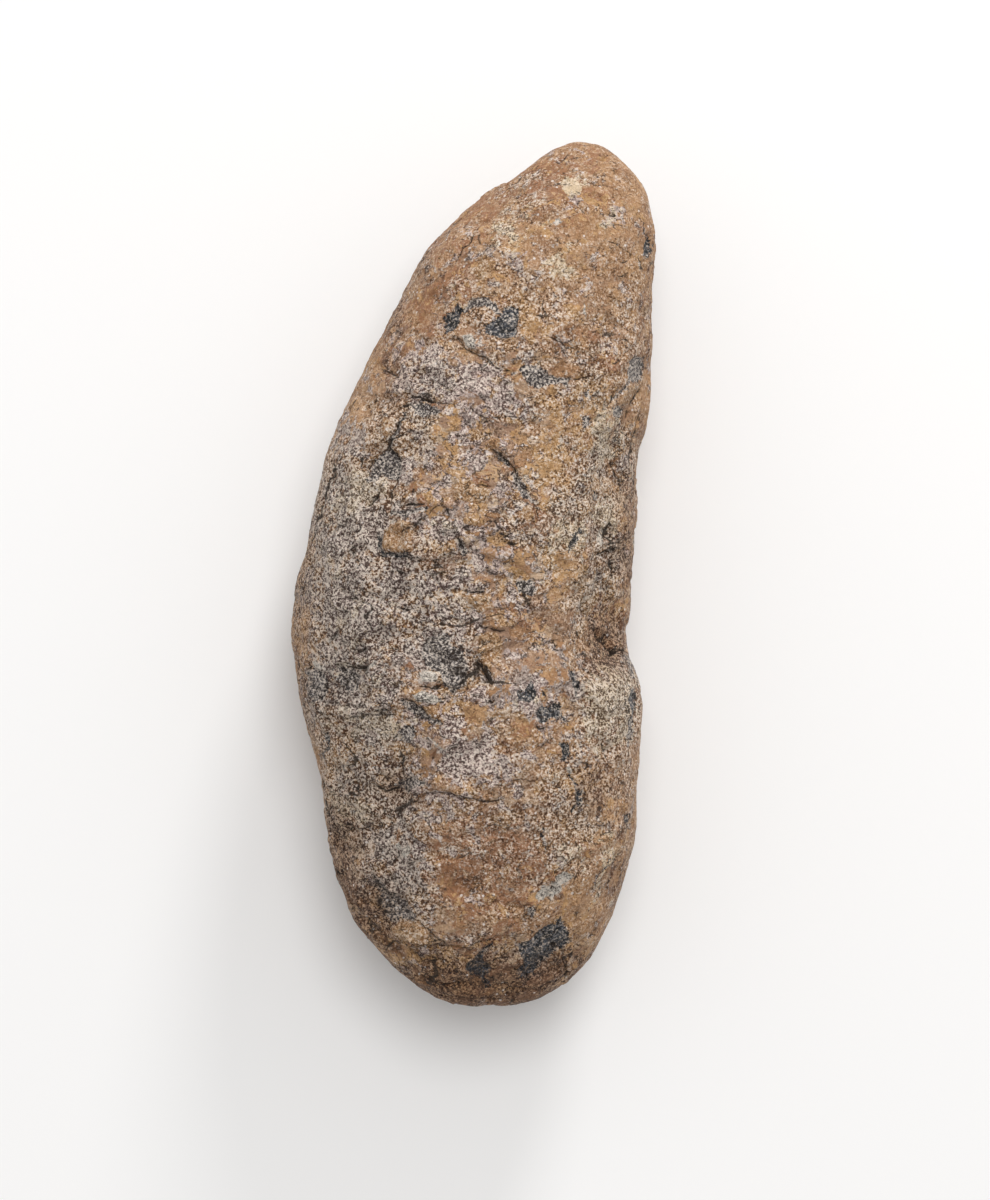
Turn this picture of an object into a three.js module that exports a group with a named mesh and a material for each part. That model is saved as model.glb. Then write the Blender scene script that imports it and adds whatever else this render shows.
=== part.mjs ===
// A coprolite: fossil dung, turned to stone in one piece. It is a long bent loaf, broad and blunt at
// the near end (-Y) and drawn out to a rounded tip at the far end (+Y). It lies on its side, on a
// small worn flat. Millimetres, +Z up. The origin is on the surface that it lies on, under the
// middle of its plan outline. +Y runs along the loaf, towards the drawn-out tip.

import * as THREE from 'three';
import { ImprovedNoise } from 'three/addons/math/ImprovedNoise.js';
import { mergeVertices } from 'three/addons/utils/BufferGeometryUtils.js';

// The plan outline, seen from above: two sides that run from the blunt tip to the drawn-out tip.
const BLUNT_TIP = [3.5, -56.4];
const DRAWN_TIP = [13.6, 56.4];
const LEFT_SIDE = [
  [-4.3, -55.3], [-9.8, -51.9], [-14.5, -46.2], [-17.4, -40.2], [-19.1, -33.2], [-21.0, -23.3],
  [-23.0, -14.2], [-23.8, -5.9], [-22.4, 2.1], [-20.4, 10.7], [-18.1, 19.2], [-14.5, 26.6],
  [-10.8, 33.6], [-7.2, 40.9], [-1.5, 47.3], [4.5, 51.4], [9.5, 55.1],
];
const RIGHT_SIDE = [
  [8.6, -55.4], [14.9, -50.7], [18.6, -43.7], [20.8, -36.1], [21.7, -28.9], [21.8, -20.5],
  [21.6, -14.0], [20.0, -9.6], [20.6, -1.6], [21.2, 6.8], [21.7, 15.3], [23.4, 23.1],
  [23.2, 32.8], [23.6, 45.8], [21.7, 51.0], [18.0, 55.1],
];

// The cross-section stands on the chord between the two sides.
const CROWN_RATIO = 0.92; // height of the crown over the widest line, as a share of half the chord
const BELLY_RATIO = 0.82; // depth of the belly under it
const SECTION_POWER = 2.15; // 2 is an ellipse, and more is squarer in the shoulders
const WORN_FLAT = 1.0; // how much of the belly the flat takes off

// The grid of faces: cells along the loaf, across it and up it.
const CELLS_ALONG = 50;
const CELLS_ACROSS = 18;
const CELLS_UP = 16;

// Broad lumps (height over 0) and hollows (under 0): the middle, the reach along X and Y, and the
// height. The upper ones are on the crown and its flanks, the lower ones on the belly.
const UPPER_SWELLS = [
  { at: [17.5, -20.0], reach: [5.5, 9.0], height: 0.9 }, // lobe below the pinch
  { at: [16.6, -7.6], reach: [3.6, 5.0], height: -1.9 }, // hollow of the pinch
  { at: [11.0, 3.0], reach: [5.0, 11.0], height: 0.7 }, // rib beside the furrow
  { at: [-4.5, -12.0], reach: [5.5, 4.5], height: -0.9 }, // scar where a flake came away
  { at: [2.0, -22.5], reach: [8.5, 6.5], height: 0.7 }, // plate below the scar
  { at: [-2.0, 9.0], reach: [7.0, 12.0], height: 0.5 },
  { at: [-14.0, 2.0], reach: [5.5, 12.0], height: 0.6 }, // granular flank
  { at: [-13.5, -31.0], reach: [5.0, 8.0], height: -0.6 },
  { at: [-14.8, -43.0], reach: [2.6, 4.6], height: 0.8 }, // lip at the lower left
  { at: [7.0, 31.0], reach: [8.0, 7.0], height: 0.6 },
  { at: [2.5, 46.5], reach: [4.5, 3.5], height: -0.8 }, // dimple on the shoulder
  { at: [14.5, 44.0], reach: [6.0, 6.0], height: 0.7 },
  { at: [-2.0, -44.0], reach: [8.0, 4.0], height: 0.5 },
];
const LOWER_SWELLS = [
  { at: [4.0, -4.0], reach: [9.0, 15.0], height: 1.1 }, // the bulge that it rests on
  { at: [-12.0, 16.0], reach: [6.0, 9.0], height: 1.1 },
  { at: [-14.0, -14.0], reach: [5.0, 8.0], height: -1.2 },
  { at: [13.0, 20.0], reach: [5.0, 12.0], height: -1.0 },
  { at: [14.0, -26.0], reach: [6.0, 9.0], height: 1.2 },
  { at: [4.0, 38.0], reach: [7.0, 6.0], height: 1.0 },
  { at: [-4.0, -43.0], reach: [8.0, 6.0], height: 0.9 },
  { at: [16.0, -6.0], reach: [4.0, 4.0], height: -1.5 }, // the pinch runs round under the edge
];

// Long grooves: the line that each follows in plan, how wide it is and how deep.
const UPPER_FURROWS = [
  { path: [[22.5, 25.5], [20.0, 18.0], [18.4, 12.5], [17.0, 4.0], [16.5, -4.5]], width: 1.9, depth: 1.2 },
  { path: [[19.6, 1.0], [19.4, -5.0], [20.0, -10.5]], width: 1.5, depth: 1.0 },
  { path: [[-9.0, 20.5], [-11.0, 13.0], [-11.6, 3.0], [-9.9, -4.0]], width: 1.8, depth: 0.7 },
  { path: [[-9.6, -22.0], [-9.0, -28.5], [-11.0, -36.0], [-9.0, -44.0]], width: 1.9, depth: 0.8 },
];
const LOWER_FURROWS = [
  { path: [[20.5, -9.0], [15.0, -11.5], [11.0, -10.5]], width: 1.9, depth: 0.9 },
  { path: [[-10.0, 34.0], [-1.0, 30.0], [9.0, 33.0], [18.0, 29.0]], width: 2.0, depth: 0.8 },
  { path: [[-17.0, -30.0], [-8.0, -34.0], [3.0, -36.0]], width: 1.8, depth: 0.7 },
];

// The relief is whole where the skin's normal leans up or down by this much of its length.
const EDGE_FADE = 0.3;

// Small unevenness all over: how far apart the bumps lie, and how high each size of bump is.
const BUMPS = [
  { spacing: 11, height: 0.55 },
  { spacing: 5.5, height: 0.3 },
];

// One side of the outline as a smooth curve, tip to tip.
function sideCurve(points) {
  const corners = [BLUNT_TIP, ...points, DRAWN_TIP].map(([x, y]) => new THREE.Vector3(x, y, 0));
  return new THREE.CatmullRomCurve3(corners, false, 'centripetal');
}

// The angle round the cross-section of a point on a square ring, evenly spread: 0 is right, 90 up.
function ringAngle(across, up) {
  if (across === 0 && up === 0) return 0;
  const eighth = Math.PI / 4;
  if (Math.abs(across) >= Math.abs(up)) {
    return (across > 0 ? 0 : Math.PI) + (eighth * up) / across;
  }
  return Math.sign(up) * Math.PI / 2 - (eighth * across) / up;
}

// How far a point of the grid's box lies along the loaf's skin, from 0 at the blunt tip to 1.
function wayAlong(point) {
  const capShare = CELLS_ACROSS / 2 / (CELLS_ACROSS + CELLS_ALONG);
  if (Math.abs(point.y) < 1) return capShare + (1 - 2 * capShare) * (point.y + 1) / 2;
  const ring = Math.max(Math.abs(point.x), Math.abs(point.z));
  return point.y < 0 ? capShare * ring : 1 - capShare * ring;
}

const signedPower = (value, power) => Math.sign(value) * Math.abs(value) ** power;

// The smooth loaf: each point of a box's grid goes to the cross-section at its way along.
function smoothLoaf() {
  const box = new THREE.BoxGeometry(2, 2, 2, CELLS_ACROSS, CELLS_ALONG, CELLS_UP);
  box.deleteAttribute('normal');
  box.deleteAttribute('uv');
  const loaf = mergeVertices(box);
  const place = loaf.getAttribute('position');
  const left = sideCurve(LEFT_SIDE);
  const right = sideCurve(RIGHT_SIDE);
  const cell = new THREE.Vector3();
  for (let i = 0; i < place.count; i += 1) {
    cell.fromBufferAttribute(place, i);
    const along = wayAlong(cell);
    const leftEnd = left.getPointAt(along);
    const rightEnd = right.getPointAt(along);
    const halfChord = rightEnd.clone().sub(leftEnd).multiplyScalar(0.5);
    const angle = ringAngle(cell.x, cell.z);
    const across = signedPower(Math.cos(angle), 2 / SECTION_POWER);
    const up = signedPower(Math.sin(angle), 2 / SECTION_POWER);
    const spot = leftEnd.add(rightEnd).multiplyScalar(0.5).addScaledVector(halfChord, across);
    const ratio = up > 0 ? CROWN_RATIO : BELLY_RATIO;
    place.setXYZ(i, spot.x, spot.y, halfChord.length() * ratio * up);
  }
  loaf.computeVertexNormals();
  return loaf;
}

// Distance in plan from (x, y) to a line of points.
function distanceToPath(x, y, path) {
  const spot = new THREE.Vector3(x, y, 0);
  const nearest = new THREE.Vector3();
  let least = Infinity;
  for (let i = 1; i < path.length; i += 1) {
    const stretch = new THREE.Line3(
      new THREE.Vector3(...path[i - 1], 0),
      new THREE.Vector3(...path[i], 0),
    );
    stretch.closestPointToPoint(spot, true, nearest);
    least = Math.min(least, nearest.distanceTo(spot));
  }
  return least;
}

// How far the lumps, hollows and furrows move the skin outwards at (x, y).
function relief(x, y, swells, furrows) {
  let height = 0;
  for (const { at, reach, height: most } of swells) {
    height += most * Math.exp(-(((x - at[0]) / reach[0]) ** 2) - ((y - at[1]) / reach[1]) ** 2);
  }
  for (const { path, width, depth } of furrows) {
    height -= depth * Math.exp(-((distanceToPath(x, y, path) / width) ** 2));
  }
  return height;
}

// How far the small unevenness moves the skin outwards at a point.
const noise = new ImprovedNoise();
function unevenness(x, y, z) {
  return BUMPS.reduce(
    (sum, { spacing, height }) => sum + height * noise.noise(x / spacing, y / spacing, z / spacing),
    0,
  );
}

// Moves the skin along its normals. The relief fades out towards the edge, which keeps its outline.
function carve(loaf) {
  const place = loaf.getAttribute('position');
  const normal = loaf.getAttribute('normal');
  for (let i = 0; i < place.count; i += 1) {
    const x = place.getX(i);
    const y = place.getY(i);
    const steepness = normal.getZ(i);
    const upper = THREE.MathUtils.smoothstep(steepness, 0, EDGE_FADE);
    const lower = THREE.MathUtils.smoothstep(-steepness, 0, EDGE_FADE);
    const lift = upper * relief(x, y, UPPER_SWELLS, UPPER_FURROWS)
      + lower * relief(x, y, LOWER_SWELLS, LOWER_FURROWS)
      + unevenness(x, y, place.getZ(i));
    place.setXYZ(
      i,
      x + lift * normal.getX(i),
      y + lift * normal.getY(i),
      place.getZ(i) + lift * normal.getZ(i),
    );
  }
}

// Sets the loaf down: the flat is level at Z = 0, and the outline's middle is over the origin.
function setDown(loaf) {
  loaf.computeBoundingBox();
  const middle = loaf.boundingBox.getCenter(new THREE.Vector3());
  loaf.translate(-middle.x, -middle.y, -loaf.boundingBox.min.z - WORN_FLAT);
  const place = loaf.getAttribute('position');
  for (let i = 0; i < place.count; i += 1) {
    place.setZ(i, Math.max(0, place.getZ(i)));
  }
}

const skin = smoothLoaf();
carve(skin);
setDown(skin);
skin.computeVertexNormals();

const coprolite = new THREE.Mesh(
  skin,
  new THREE.MeshStandardMaterial({ color: 0x9c8168, roughness: 0.82, metalness: 0 }),
);
coprolite.name = 'coprolite';

const part = new THREE.Group();
part.add(coprolite);

export default part;
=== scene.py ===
# %% [markdown]
# # A coprolite, finished stone by stone
#
# A coprolite is fossil dung. Silica and calcium phosphate have replaced it grain by grain, so it is
# now a stone in the shape of a bent loaf. This lesson dresses a plain closed solid of that loaf. First
# the solid's skin is made fine. Then cracks, ledges, flakes and pits are cut in it as real shape. Last
# comes one stone finish, which reads the same survey of marks as the shape does.

import math

import bmesh
import bpy
import numpy as np
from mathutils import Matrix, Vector, kdtree, noise


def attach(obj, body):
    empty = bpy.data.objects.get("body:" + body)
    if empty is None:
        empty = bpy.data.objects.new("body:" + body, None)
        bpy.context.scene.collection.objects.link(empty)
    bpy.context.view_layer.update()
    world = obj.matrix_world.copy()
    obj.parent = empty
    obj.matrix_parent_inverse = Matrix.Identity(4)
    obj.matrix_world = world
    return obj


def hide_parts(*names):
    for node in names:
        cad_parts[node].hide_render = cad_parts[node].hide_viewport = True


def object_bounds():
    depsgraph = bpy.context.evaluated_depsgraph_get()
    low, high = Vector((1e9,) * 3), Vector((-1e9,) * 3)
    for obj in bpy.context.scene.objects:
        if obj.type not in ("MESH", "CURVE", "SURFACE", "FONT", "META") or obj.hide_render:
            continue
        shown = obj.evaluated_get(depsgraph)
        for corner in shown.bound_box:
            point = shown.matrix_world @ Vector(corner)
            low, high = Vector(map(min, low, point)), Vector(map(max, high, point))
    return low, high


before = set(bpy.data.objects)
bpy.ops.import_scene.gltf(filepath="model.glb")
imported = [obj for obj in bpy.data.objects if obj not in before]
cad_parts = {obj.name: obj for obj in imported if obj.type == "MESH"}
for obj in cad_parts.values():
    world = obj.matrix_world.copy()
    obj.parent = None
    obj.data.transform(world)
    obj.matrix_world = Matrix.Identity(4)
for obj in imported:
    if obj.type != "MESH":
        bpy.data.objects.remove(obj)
cad_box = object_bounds()
MM = 0.001
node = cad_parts["coprolite"]
print("solid:", [round(side / MM, 1) for side in cad_box[1] - cad_box[0]], "mm")

# %% [markdown]
# ## The camera
#
# The stone is seen from straight above, with its drawn-out tip at the top. A long lens from 0.6 m away
# keeps the rounded sides from spreading. The view is taller than it is wide, so the sensor's width lies
# along its height, and the lens follows from how many millimetres the view has to take in.

# %% Camera
SENSOR_MM = 36.0
VIEW_HEIGHT_MM = 156.0
CAMERA_HEIGHT_MM = 600.0
WIDEST_LINE_MM = 18.0
VIEW_MIDDLE_MM = (2.8, -3.6)

camera_data = bpy.data.cameras.new("camera")
camera_data.sensor_width = SENSOR_MM
camera_data.lens = SENSOR_MM * CAMERA_HEIGHT_MM / VIEW_HEIGHT_MM
camera = bpy.data.objects.new("camera", camera_data)
camera_place_mm = np.array([*VIEW_MIDDLE_MM, WIDEST_LINE_MM + CAMERA_HEIGHT_MM])
camera.location = Vector(camera_place_mm) * MM
bpy.context.scene.collection.objects.link(camera)
bpy.context.scene.camera = camera
print("lens:", round(camera_data.lens, 1), "mm")

# %% [markdown]
# ## A fine skin
#
# The solid has flat faces about 2 mm wide. Its loose triangles are merged in a copy, and three levels
# of subdivision round them off and leave faces a quarter of a millimetre wide. That is fine enough to
# cut a hairline crack as real shape, which catches the light where a painted line would not.

# %% Copy, merge and subdivide the solid's mesh
MERGE_MM = 0.01
SKIN_LEVELS = 3


def with_modifiers(obj):
    """The object's mesh with its modifiers applied."""
    graph = bpy.context.evaluated_depsgraph_get()
    return bpy.data.meshes.new_from_object(
        obj.evaluated_get(graph), preserve_all_data_layers=True, depsgraph=graph
    )


stone = bpy.data.objects.new("coprolite_stone", node.data.copy())
bpy.context.scene.collection.objects.link(stone)
shell = bmesh.new()
shell.from_mesh(stone.data)
bmesh.ops.remove_doubles(shell, verts=shell.verts, dist=MERGE_MM * MM)
shell.to_mesh(stone.data)
shell.free()
skin = stone.modifiers.new("fine skin", "SUBSURF")
skin.levels = skin.render_levels = SKIN_LEVELS
stone.data = with_modifiers(stone)
stone.modifiers.clear()
print("skin:", len(stone.data.vertices), "vertices")

# %% [markdown]
# ## Places and noise
#
# Every later step works on the same lists: where each point of the skin is, in millimetres, and which
# way it faces. Natural unevenness comes from gradient noise. It depends on the place alone, so it is
# the same on every run. Noise that is drawn out along X makes forms that lie across the loaf, as the
# layers of this fossil do.

# %% Read the skin's points
COUNT = len(stone.data.vertices)
flat_list = np.empty(COUNT * 3)
stone.data.vertices.foreach_get("co", flat_list)
places = flat_list.reshape(-1, 3) / MM
stone.data.vertices.foreach_get("normal", flat_list)
facing = flat_list.reshape(-1, 3).copy()


def smooth(low, high, value):
    """0 below low, 1 above high, and a smooth rise between them."""
    share = np.clip((value - low) / (high - low), 0, 1)
    return share * share * (3 - 2 * share)


def lumps(size, seed):
    """Gradient noise from -1 to 1, with lumps of that size in mm: one size, or one for each axis."""
    shift = np.array([11.3, 7.7, 5.1]) * seed
    return np.array([noise.noise(spot) for spot in (places / size + shift).tolist()])


MEDIUM_MM = 1.5
FINE_MM = 0.8
coarse = lumps(3.2, 1)
medium = lumps(MEDIUM_MM, 2)
fine = lumps(FINE_MM, 3)
print("lumps up to", round(float(coarse.max()), 2))

# %% [markdown]
# ## The survey of marks
#
# A geologist draws a specimen's marks on a survey sheet that is laid over it. Here the sheet is the
# camera's own view, 990 units wide and 1200 high, counted from its top left corner. Each mark has a
# name, how deep it is cut in mm (below 0, how proud it stands), half its width in mm, and its points on
# the sheet. A mark with no width is an outline, and one with a width is a line.

# %% The survey sheet
SHEET_UNITS = (990, 1200)
UNIT_MM = VIEW_HEIGHT_MM / SHEET_UNITS[1]


def from_sheet(points):
    """Points on the sheet as places in mm on the level of the stone's widest line."""
    steps = (np.array(points, dtype=float) - np.array(SHEET_UNITS) / 2) * UNIT_MM
    return np.array(VIEW_MIDDLE_MM) + steps * (1, -1)


print("one unit of the sheet is", UNIT_MM, "mm")

# %% Glassy black flint
FLINT = {
    "shoulder_left": (0.2, 0, [
        (442, 317), (452, 311), (455, 303), (460, 308), (459, 319), (453, 331), (444, 333)
    ]),
    "shoulder_right": (0.26, 0, [
        (500, 315), (505, 306), (519, 307), (518, 335), (502, 338), (485, 333), (483, 325), (493, 319)
    ]),
    "step_corner": (0.78, 0.26, [(377, 531), (379, 541), (376, 549), (382, 555), (394, 556), (408, 554)]),
    "lens": (0.39, 0.34, [(583, 530), (576, 538), (569, 551)]),
    "twin_upper": (0.26, 0, [
        (517, 692), (527, 688), (531, 678), (536, 687), (537, 697), (528, 702), (520, 700)
    ]),
    "twin_dot": (0.13, 0.34, [(545, 694), (546, 696)]),
    "twin_lower": (0.26, 0, [
        (536, 711), (542, 705), (551, 706), (556, 702), (562, 704), (564, 713), (560, 721), (555, 718),
        (549, 719), (546, 725), (539, 722)
    ]),
    "twin_tail": (0.26, 0.17, [(561, 716), (567, 721), (572, 725)]),
    "tear": (0.33, 0, [
        (568, 671), (574, 667), (579, 671), (577, 680), (581, 685), (579, 699), (576, 689), (571, 679)
    ]),
    "chain_upper": (0.33, 0, [(560, 742), (568, 743), (570, 752), (568, 762), (564, 758), (563, 749)]),
    "chain_lower": (0.39, 0.31, [(571, 777), (577, 785), (580, 793), (578, 803), (573, 811)]),
    "foot_large": (0.39, 0, [
        (519, 947), (536, 935), (545, 928), (557, 925), (562, 918), (567, 923), (568, 935), (571, 942),
        (563, 949), (556, 952), (548, 962), (537, 969), (526, 979), (516, 977), (525, 964), (521, 954)
    ]),
    "foot_small": (0.45, 0, [
        (468, 962), (477, 957), (484, 952), (494, 944), (488, 955), (485, 962), (490, 971), (486, 979),
        (492, 984), (486, 988), (479, 980), (473, 974), (466, 969)
    ]),
    "edge_right": (0.13, 0, [(631, 690), (635, 686), (638, 697), (638, 712), (633, 717), (630, 705)]),
    "tip_edge": (0.52, 0.39, [(650, 238), (651, 248), (648, 257)]),
    "rim_notch": (0.65, 0.26, [(324, 735), (326, 747), (321, 757)]),
    "low_right_a": (0.13, 0.31, [(628, 815), (629, 824)]),
}

# %% Grey chalcedony
GREY = {
    "gully": (0.52, 0.55, [(401, 702), (411, 707), (421, 715), (432, 721), (440, 723)]),
    "rim_grey_b": (0.13, 0, [(305, 669), (317, 669), (325, 679), (321, 699), (312, 705), (306, 690)]),
    "rim_grey": (0.13, 0, [(334, 668), (346, 667), (357, 676), (357, 690), (349, 694), (338, 684)]),
    "flank_diamond": (0.65, 0, [
        (366, 472), (370, 462), (377, 455), (387, 448), (396, 456), (399, 467), (396, 479), (388, 478),
        (380, 474), (375, 483), (366, 480)
    ]),
    "lens_strip": (0.39, 0.42, [(403, 414), (400, 426), (395, 437), (389, 448)]),
    "shoulder_bridge": (0.13, 0.58, [(462, 310), (470, 303), (484, 301), (500, 311)]),
    "brow": (0.26, 0, [
        (520, 371), (528, 364), (539, 364), (545, 371), (556, 378), (564, 376), (571, 379), (567, 386),
        (558, 384), (548, 385), (538, 389), (529, 385)
    ]),
    "brow_left": (0.2, 0, [
        (411, 407), (421, 402), (436, 404), (441, 409), (432, 415), (420, 417), (413, 414)
    ]),
    "edge_upper": (0.26, 0, [
        (632, 362), (638, 356), (645, 360), (646, 372), (640, 384), (632, 382), (630, 372)
    ]),
    "edge_upper_tail": (0.33, 0.21, [(632, 381), (625, 390), (616, 399)]),
    "step_band": (0.26, 0.47, [(391, 511), (403, 514), (415, 511), (426, 507)]),
    "scar_fill": (0.39, 0.6, [(514, 474), (519, 484), (525, 494), (533, 500)]),
    "scar_head": (0.39, 0.26, [(497, 455), (505, 460), (512, 467)]),
    "diamond": (0.2, 0, [(517, 581), (532, 578), (537, 589), (531, 597), (518, 592)]),
    "small_plum": (0.2, 0, [(457, 541), (463, 543), (470, 552), (464, 556), (458, 549)]),
    "heart": (0.13, 0, [
        (420, 652), (424, 641), (434, 636), (446, 633), (452, 645), (464, 652), (468, 668), (462, 686),
        (452, 694), (444, 683), (439, 671), (427, 666)
    ]),
    "fuzz": (0.13, 0, [(397, 733), (404, 725), (413, 728), (416, 738), (407, 744), (399, 741)]),
    "blue_fleck": (0.13, 0, [(393, 788), (400, 780), (414, 778), (426, 781), (420, 787), (404, 795)]),
    "corner_band": (0.39, 0, [
        (371, 877), (379, 879), (392, 893), (402, 903), (418, 914), (414, 919), (401, 917), (393, 921),
        (386, 913), (379, 897), (371, 886)
    ]),
    "pebble": (0.13, 0, [(528, 908), (535, 905), (537, 914), (533, 919), (528, 915)]),
    "thread_right": (0.13, 0.18, [(611, 860), (605, 869), (596, 878), (597, 889)]),
    "thread_low": (0.07, 0.21, [(542, 828), (545, 840), (547, 852)]),
    "dust_upper": (0.13, 0, [(508, 372), (514, 370), (516, 374), (510, 376)]),
    "plum_ring": (0.13, 0, [(586, 392), (592, 390), (596, 396), (590, 399)]),
    "ring_right": (0.13, 0, [(614, 409), (621, 405), (626, 411), (622, 420), (615, 417)]),
    "fleck_right": (0.07, 0, [(584, 419), (590, 417), (593, 424), (588, 430), (584, 426)]),
    "fleck_cream": (0.07, 0.26, [(596, 493), (598, 500)]),
    "edge_low": (0.07, 0.39, [(634, 716), (634, 733), (631, 744)]),
    "notch_grey": (0, 0.39, [(627, 655), (632, 664), (635, 676)]),
}

# %% Pale clasts and mineral threads
PALE = {
    "clast": (-0.33, 0, [(458, 335), (471, 332), (476, 349), (468, 347)]),
    "tip_dot_a": (-0.13, 0, [(553, 219), (558, 215), (562, 219), (557, 223)]),
    "foot_pale": (-0.26, 0, [(526, 954), (531, 948), (537, 951), (534, 959), (528, 960)]),
    "grey_white": (0.13, 0, [
        (536, 899), (542, 887), (551, 889), (557, 878), (564, 871), (575, 876), (572, 883), (563, 887),
        (562, 895), (554, 903), (548, 898), (541, 902)
    ]),
    "corner_clast": (-0.26, 0, [(401, 848), (405, 847), (407, 855), (403, 858), (400, 854)]),
    "corner_clast_b": (-0.2, 0, [(394, 846), (399, 843), (400, 848), (396, 851)]),
    "rim_chalk": (-0.2, 0, [(310, 661), (315, 660), (323, 668), (319, 672), (313, 667)]),
    "hollow_chalk": (-0.2, 0, [(364, 671), (370, 664), (376, 658), (379, 662), (373, 669), (367, 674)]),
    "laminae_pale": (-0.26, 0, [(411, 697), (423, 692), (436, 695), (443, 701), (436, 705), (422, 703)]),
    "heart_pebble": (-0.26, 0, [(420, 672), (428, 668), (437, 672), (439, 680), (430, 684), (422, 680)]),
    "streak": (-0.13, 0.16, [(428, 737), (436, 745), (450, 756)]),
    "furrow_rim": (-0.33, 0.2, [(606, 528), (603, 537), (601, 547)]),
    "edge_fleck": (-0.13, 0.21, [(640, 259), (641, 268)]),
    "chain_white": (-0.13, 0.21, [(570, 768), (573, 776)]),
    "chain_rim": (-0.13, 0.16, [(582, 788), (583, 798), (580, 807)]),
    "right_fleck": (-0.13, 0.23, [(584, 304), (586, 318)]),
    "brow_tail": (-0.13, 0.26, [(548, 380), (556, 383)]),
}

# %% Tan and rust-coloured flakes
TAN = {
    "step_flake": (-0.45, 0, [
        (384, 531), (391, 523), (400, 520), (411, 522), (414, 533), (411, 543), (410, 552), (392, 553),
        (381, 549), (380, 540)
    ]),
    "lens_flake": (-0.39, 0, [(381, 421), (387, 416), (393, 421), (392, 432), (388, 440), (383, 433)]),
    "amber": (-0.26, 0, [(486, 442), (492, 437), (501, 442), (499, 449), (490, 448)]),
    "corner_flake": (-0.45, 0, [
        (392, 928), (402, 920), (415, 919), (425, 926), (434, 937), (436, 944), (418, 941), (398, 938)
    ]),
    "mid_flake": (-0.26, 0, [(464, 592), (491, 595), (492, 610), (478, 611), (467, 602)]),
    "rust": (-0.13, 0, [(478, 634), (498, 632), (503, 645), (500, 660), (488, 664), (477, 652)]),
    "gully_flake": (-0.26, 0, [(420, 706), (436, 706), (441, 718), (431, 721)]),
    "edge_amber": (-0.26, 0, [(628, 386), (637, 384), (640, 394), (628, 405), (620, 404)]),
    "groove_amber": (-0.2, 0, [(523, 507), (533, 505), (537, 514), (529, 522), (522, 517)]),
    "upper_rust": (-0.13, 0, [(476, 257), (488, 253), (494, 270), (484, 284), (474, 276)]),
    "mid_rust": (-0.13, 0, [(452, 486), (470, 480), (492, 489), (488, 500), (468, 502), (455, 497)]),
    "small_rust": (-0.13, 0, [(446, 543), (453, 541), (456, 551), (448, 557), (444, 551)]),
}

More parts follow.
